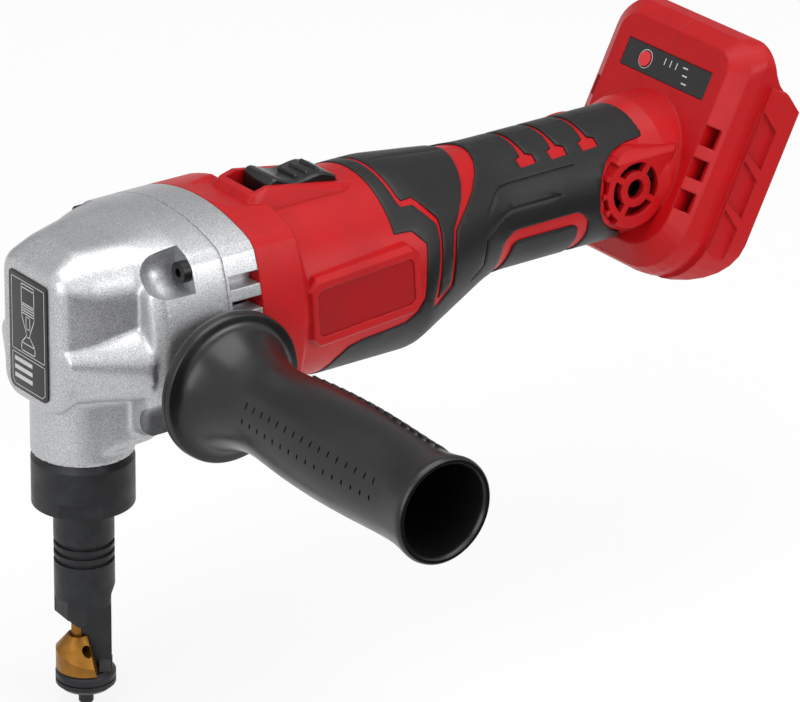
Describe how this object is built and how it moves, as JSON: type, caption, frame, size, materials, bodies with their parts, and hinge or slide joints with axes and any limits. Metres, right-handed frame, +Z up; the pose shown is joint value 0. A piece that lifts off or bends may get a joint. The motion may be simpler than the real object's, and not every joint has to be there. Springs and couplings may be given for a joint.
{
  "type": "cordless nibbler",
  "caption": "Cordless nibbler with a right-angle cast head, turning die holder with punch and die, planetary gearbox, brushless motor, soft grip, battery foot and side handle.",
  "frame": {"origin": "where the punch axis crosses the motor axis, inside the gear housing", "axes": "+X along the motor axis towards the battery foot, +Z up along the punch axis away from the work, -Y towards the side handle"},
  "size_m": [0.2891, 0.1984, 0.186],
  "materials": {
    "cast_aluminium": "die-cast, painted grainy silver",
    "black_label": null,
    "black_screw": "blackened steel",
    "blackened_steel": "machined and blackened",
    "gold_tool_steel": "gold-coloured hard coating, ground",
    "ground_steel": "ground",
    "gear_steel": "hardened and ground",
    "bearing_steel": "polished rings",
    "sinter_bronze": "oil-soaked sintered bronze",
    "felt_seal": "oiled seal",
    "lamination": "varnished steel sheets",
    "copper_wire": "enamelled copper",
    "fan_plastic": "moulded",
    "red_plastic": "moulded, satin",
    "dark_red_plate": "moulded, satin, bare",
    "soft_grip": "moulded soft skin",
    "black_plastic": "moulded",
    "panel_film": null,
    "button_red": "moulded",
    "circuit_board": "solder mask",
    "tray_aluminium": "plain",
    "contact_metal": "plated",
    "red_lead": "insulation",
    "black_lead": "insulation",
    "handle_plastic": "moulded"
  },
  "bodies": {
    "body": {"gear_housing": "cast_aluminium", "motor_bracket": "cast_aluminium", "head_screws": "black_screw", "head_label": "black_label", "ram_bush": "sinter_bronze", "ram_seal": "felt_seal", "crank_bearing": "bearing_steel", "ring_gear": "gear_steel", "fan_shroud": "red_plastic", "front_bearing": "bearing_steel", "rear_bearing": "bearing_steel", "stator_core": "lamination", "stator_windings": "copper_wire", "sensor_board": "circuit_board", "housing_left": "red_plastic", "housing_right": "red_plastic", "housing_screws": "black_screw", "grip_skin_left": "soft_grip", "grip_skin_right": "soft_grip", "label_left": "dark_red_plate", "label_right": "dark_red_plate", "switch_unit": "black_plastic", "control_panel": "panel_film", "panel_board": "circuit_board", "controller_board": "circuit_board", "controller_tray": "tray_aluminium", "terminal_block": "black_plastic", "terminal_blades": "contact_metal", "motor_leads": "red_lead", "battery_leads": "black_lead"},
    "rotor": {"rotor_shaft": "ground_steel", "rotor_core": "lamination", "cooling_fan": "fan_plastic"},
    "crank": {"crank_carrier": "gear_steel", "eccentric_roller": "ground_steel"},
    "planet_1": {"planet_gear_1": "gear_steel"},
    "planet_2": {"planet_gear_2": "gear_steel"},
    "planet_3": {"planet_gear_3": "gear_steel"},
    "ram": {"ram_yoke": "ground_steel"},
    "die_set": {"die_holder": "blackened_steel", "die": "gold_tool_steel", "die_bolt": "blackened_steel"},
    "punch": {"punch": "gold_tool_steel"},
    "collar": {"lock_collar": "blackened_steel"},
    "handle": {"handle_grip": "handle_plastic", "handle_stud": "ground_steel", "handle_plug": "handle_plastic"},
    "slider": {"switch_slider": "black_plastic", "switch_bar": "black_plastic"},
    "button": {"speed_button": "button_red"}
  },
  "joints": [
    {"name": "rotor_spin", "type": "hinge", "parent": "body", "child": "rotor", "pos_m": [0.08, 0, 0], "axis": [1, 0, 0], "continuous": true},
    {"name": "crank_spin", "type": "hinge", "parent": "body", "child": "crank", "pos_m": [0.015, 0, 0], "axis": [1, 0, 0], "continuous": true},
    {"name": "planet_1_spin", "type": "hinge", "parent": "crank", "child": "planet_1", "pos_m": [0.028, 0, 0.0144], "axis": [1, 0, 0], "continuous": true},
    {"name": "planet_2_spin", "type": "hinge", "parent": "crank", "child": "planet_2", "pos_m": [0.028, -0.01247, -0.0072], "axis": [1, 0, 0], "continuous": true},
    {"name": "planet_3_spin", "type": "hinge", "parent": "crank", "child": "planet_3", "pos_m": [0.028, 0.01247, -0.0072], "axis": [1, 0, 0], "continuous": true},
    {"name": "ram_slide", "type": "slide", "parent": "body", "child": "ram", "axis": [0, 0, 1], "range_m": [0, 0.007]},
    {"name": "die_turn", "type": "hinge", "parent": "body", "child": "die_set", "pos_m": [0, 0, -0.08], "axis": [0, 0, 1], "continuous": true},
    {"name": "punch_slide", "type": "slide", "parent": "die_set", "child": "punch", "axis": [0, 0, 1], "range_m": [0, 0.007]},
    {"name": "collar_turn", "type": "hinge", "parent": "body", "child": "collar", "pos_m": [0, 0, -0.05], "axis": [0, 0, 1], "continuous": true},
    {"name": "handle_turn", "type": "hinge", "parent": "body", "child": "handle", "pos_m": [0.0273, -0.09, -0.0097], "axis": [0, -1, 0], "continuous": true},
    {"name": "switch_slide", "type": "slide", "parent": "body", "child": "slider", "axis": [-1, 0, 0], "range_m": [0, 0.006]},
    {"name": "button_press", "type": "slide", "parent": "body", "child": "button", "axis": [0.8957, 0, -0.4446], "range_m": [0, 0.0009], "stiffness_N_per_m": 200, "springref_m": -0.0005}
  ],
  "couplings": [
    {"joint": "crank_spin", "follows": "rotor_spin", "ratio": 0.16667},
    {"joint": "planet_1_spin", "follows": "rotor_spin", "ratio": -0.41667},
    {"joint": "planet_2_spin", "follows": "rotor_spin", "ratio": -0.41667},
    {"joint": "planet_3_spin", "follows": "rotor_spin", "ratio": -0.41667},
    {"joint": "punch_slide", "follows": "ram_slide", "ratio": 1}
  ]
}
